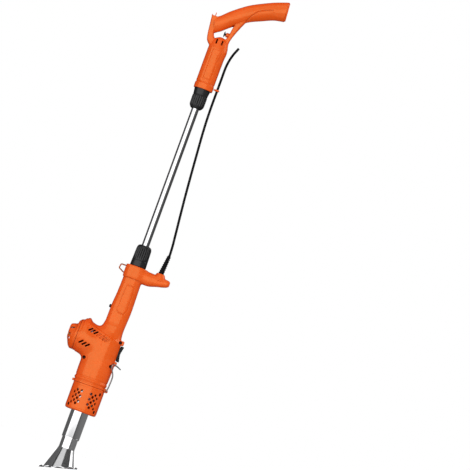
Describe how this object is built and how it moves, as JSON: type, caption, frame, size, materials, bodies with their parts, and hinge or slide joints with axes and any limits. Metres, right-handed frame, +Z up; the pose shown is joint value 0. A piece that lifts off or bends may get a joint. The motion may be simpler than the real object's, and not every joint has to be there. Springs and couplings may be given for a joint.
{
  "type": "long-reach electric hot air gun",
  "caption": "Long-reach hot-air gun: orange body with side motor housing, vented heat guard, steel tube and flared nozzle on a chrome pole with an angled upper handle and cable.",
  "frame": {"origin": "bottom centre of the bounding box: level with the lowest point of the nozzle's rim, 12.3 mm from the pole's axis on the switch side", "axes": "+Z up the pole, -X towards the motor housing, +X towards the switch and the cable arm, -Y towards the side that shows the case screws"},
  "size_m": [0.2052, 0.0758, 1.0953],
  "materials": {
    "orange_plastic": "fine satin moulding, slight gloss",
    "black_plastic": "satin moulding with a fine grain",
    "cable_rubber": "matt rubber",
    "bright_steel": "polished chrome tube",
    "nozzle_steel": "polished stainless sheet with light drawing marks",
    "plain_steel": "plain zinc-plated steel",
    "ring_metal": "copper-toned wire",
    "brass_bush": "sintered bronze",
    "mica_sheet": "mica and ceramic, matt",
    "green_board": "solder-masked board"
  },
  "bodies": {
    "gun": {"body_shell_left": "orange_plastic", "body_shell_right": "orange_plastic", "motor_end_cap": "orange_plastic", "heat_guard": "orange_plastic", "heat_tube": "nozzle_steel", "mica_tube": "mica_sheet", "heater_core": "mica_sheet", "heating_coil": "plain_steel", "motor_can": "plain_steel", "motor_bush_outer": "brass_bush", "motor_bush_inner": "brass_bush", "motor_bracket": "plain_steel", "switch_body": "black_plastic", "button_spring": "plain_steel", "button_switch": "black_plastic", "circuit_board": "green_board", "cable_clamp": "black_plastic", "strain_relief": "cable_rubber", "power_cable": "cable_rubber", "lower_socket": "black_plastic", "lower_collet": "black_plastic", "case_screw_barrel_left": "plain_steel", "case_screw_barrel_right": "plain_steel", "case_screw_switch": "plain_steel", "guard_screw_front_left": "plain_steel", "guard_screw_front_right": "plain_steel", "guard_screw_back_right": "plain_steel", "guard_screw_back_left": "plain_steel", "guard_screw_upper_front": "plain_steel", "guard_screw_upper_back": "plain_steel"},
    "nozzle": {"nozzle": "nozzle_steel"},
    "fan": {"motor_shaft": "plain_steel", "impeller": "black_plastic"},
    "rocker": {"rocker_switch": "black_plastic"},
    "button": {"grip_button": "black_plastic"},
    "stand": {"wire_stand": "plain_steel"},
    "ring": {"strap_ring": "ring_metal"},
    "lower_nut": {"lower_collar": "black_plastic"},
    "pole": {"pole": "bright_steel"},
    "handle": {"handle_shell_left": "orange_plastic", "handle_shell_right": "orange_plastic", "handle_end_cap": "orange_plastic", "handle_screw_tube": "plain_steel", "handle_screw_loop": "plain_steel", "handle_screw_grip": "plain_steel", "cable_clip": "orange_plastic", "cable_hook": "orange_plastic", "upper_socket": "black_plastic", "upper_collet": "black_plastic"},
    "upper_nut": {"upper_collar": "black_plastic"},
    "loop_button": {"loop_button": "black_plastic"}
  },
  "joints": [
    {"name": "nozzle_pull", "type": "slide", "parent": "gun", "child": "nozzle", "axis": [0, 0, -1], "range_m": [0, 0.03]},
    {"name": "fan_spin", "type": "hinge", "parent": "gun", "child": "fan", "pos_m": [-0.0423, 0, 0.28784], "axis": [1, 0, 0], "continuous": true},
    {"name": "rocker_tilt", "type": "hinge", "parent": "gun", "child": "rocker", "pos_m": [0.0097, 0, 0.27664], "axis": [0, 1, 0], "range_deg": [-8, 8]},
    {"name": "button_press", "type": "slide", "parent": "gun", "child": "button", "axis": [1, 0, 0], "range_m": [0, 0.0022], "stiffness_N_per_m": 400},
    {"name": "stand_fold", "type": "hinge", "parent": "gun", "child": "stand", "pos_m": [0.015, 0, 0.19404], "axis": [0, 1, 0], "range_deg": [0, 120]},
    {"name": "ring_swing", "type": "hinge", "parent": "gun", "child": "ring", "pos_m": [-0.0335, 0, 0.44884], "axis": [0, 0, 1], "range_deg": [-35, 35]},
    {"name": "lower_nut_twist", "type": "hinge", "parent": "gun", "child": "lower_nut", "pos_m": [-0.0123, 0, 0.48084], "axis": [0, 0, 1], "range_deg": [0, 120]},
    {"name": "pole_slide", "type": "slide", "parent": "gun", "child": "pole", "axis": [0, 0, 1], "range_m": [0, 0.025]},
    {"name": "handle_slide", "type": "slide", "parent": "pole", "child": "handle", "axis": [0, 0, 1], "range_m": [0, 0.025]},
    {"name": "upper_nut_twist", "type": "hinge", "parent": "handle", "child": "upper_nut", "pos_m": [-0.0123, 0, 0.84084], "axis": [0, 0, 1], "range_deg": [-120, 0]},
    {"name": "loop_button_press", "type": "slide", "parent": "handle", "child": "loop_button", "axis": [1, 0, 0], "range_m": [0, 0.002], "stiffness_N_per_m": 400}
  ]
}
